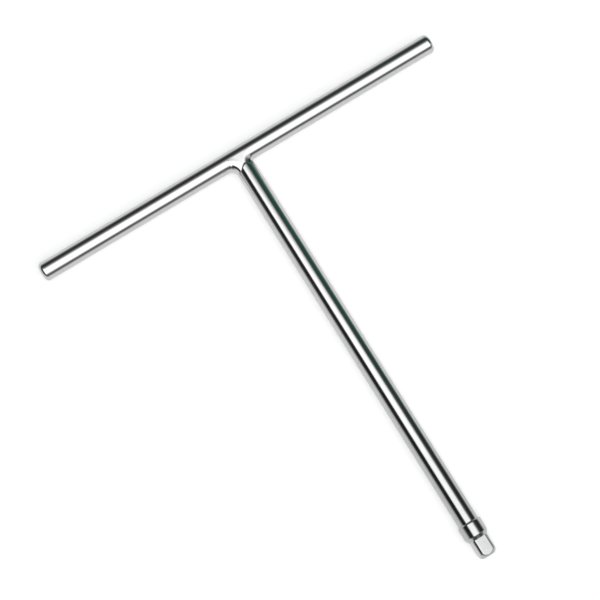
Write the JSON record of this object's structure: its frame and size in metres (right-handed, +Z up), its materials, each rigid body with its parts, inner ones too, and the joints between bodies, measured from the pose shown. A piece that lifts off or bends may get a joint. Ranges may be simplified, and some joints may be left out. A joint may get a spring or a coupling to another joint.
{
  "type": "T-handle wrench",
  "caption": "T-handle wrench with a fixed round crossbar welded to a round shaft, ending in a collar and a male square drive with a sprung detent ball, all chrome plated.",
  "frame": {"origin": "middle of the footprint, level with the underside of the collar, the widest round; the wrench lies flat", "axes": "+X along the crossbar, +Y along the shaft from the square drive towards the crossbar, +Z up; both rods' axes lie in the plane z = 6.9 mm"},
  "size_m": [0.25, 0.2601, 0.0138],
  "materials": {
    "chrome_plate": "bright chrome plate over fine-ground steel, faint satin grain",
    "bright_ball_steel": "polished bearing steel",
    "spring_steel": "drawn music wire"
  },
  "bodies": {
    "wrench": {"crossbar": "chrome_plate", "shaft": "chrome_plate", "weld_bead": "chrome_plate", "drive_head": "chrome_plate", "detent_spring": "spring_steel"},
    "ball": {"detent_ball": "bright_ball_steel"}
  },
  "joints": [
    {"name": "ball_press", "type": "slide", "parent": "wrench", "child": "ball", "axis": [0.1392, 0, 0.9903], "range_m": [0, 0.0008], "stiffness_N_per_m": 1500, "springref_m": -0.001, "deforming": ["detent_spring"]}
  ]
}
